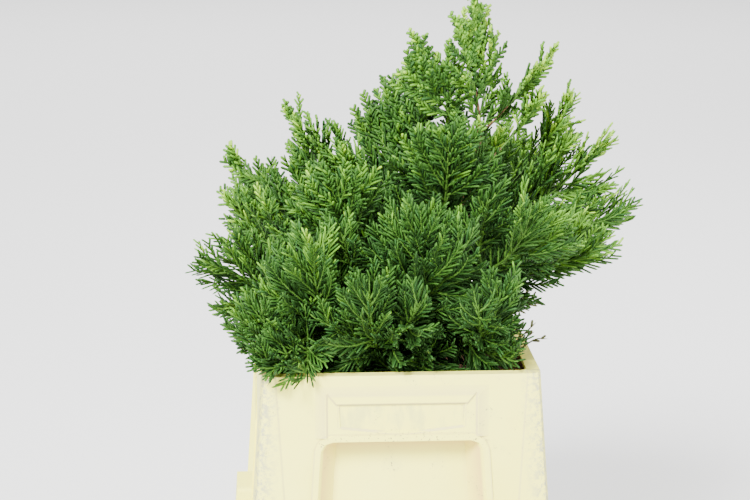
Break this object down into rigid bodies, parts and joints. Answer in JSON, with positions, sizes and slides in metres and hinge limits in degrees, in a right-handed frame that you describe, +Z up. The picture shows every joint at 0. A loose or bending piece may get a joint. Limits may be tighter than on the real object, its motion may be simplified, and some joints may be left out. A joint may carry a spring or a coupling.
{
  "type": "potted hinoki cypress",
  "caption": "Young hinoki cypress with upswept flat sprays, leaning to one side, in a flared rectangular plastic container filled with soil.",
  "frame": {"origin": "centre of the container's flat underside, on the surface that it stands on", "axes": "+Z up, -Y towards the viewer out of the container's short front wall, +X to the viewer's right"},
  "size_m": [0.431, 0.4594, 0.6883],
  "materials": {
    "container": "cream polypropylene, satin, lightly scuffed",
    "soil": "dark brown potting soil with bark crumbs, matt",
    "bark": "reddish brown young bark, matt",
    "foliage": "green scale leaves, slightly waxy"
  },
  "bodies": {
    "root": {"bough_back_left": "bark", "bough_back_low": "bark", "bough_back_right": "bark", "bough_centre_back": "bark", "bough_centre_front": "bark", "bough_centre_high": "bark", "bough_front_centre": "bark", "bough_front_corner": "bark", "bough_front_left": "bark", "bough_front_low": "bark", "bough_front_low_left": "bark", "bough_front_low_right": "bark", "bough_front_right": "bark", "bough_left_crest": "bark", "bough_left_front": "bark", "bough_left_high": "bark", "bough_left_low": "bark", "bough_left_middle": "bark", "bough_left_spread": "bark", "bough_left_upper": "bark", "bough_right_front": "bark", "bough_right_high": "bark", "bough_right_low": "bark", "bough_right_spread": "bark", "bough_right_upper": "bark", "bough_top_left": "bark", "bough_top_right": "bark", "bough_top_side": "bark", "container": "container", "foliage_back_left": "foliage", "foliage_back_low": "foliage", "foliage_back_right": "foliage", "foliage_centre_back": "foliage", "foliage_centre_front": "foliage", "foliage_centre_high": "foliage", "foliage_front_centre": "foliage", "foliage_front_corner": "foliage", "foliage_front_left": "foliage", "foliage_front_low": "foliage", "foliage_front_low_left": "foliage", "foliage_front_low_right": "foliage", "foliage_front_right": "foliage", "foliage_leader": "foliage", "foliage_left_crest": "foliage", "foliage_left_front": "foliage", "foliage_left_high": "foliage", "foliage_left_low": "foliage", "foliage_left_middle": "foliage", "foliage_left_spread": "foliage", "foliage_left_upper": "foliage", "foliage_right_front": "foliage", "foliage_right_high": "foliage", "foliage_right_low": "foliage", "foliage_right_spread": "foliage", "foliage_right_upper": "foliage", "foliage_top_left": "foliage", "foliage_top_right": "foliage", "foliage_top_side": "foliage", "soil": "soil", "trunk": "bark"}
  },
  "joints": []
}
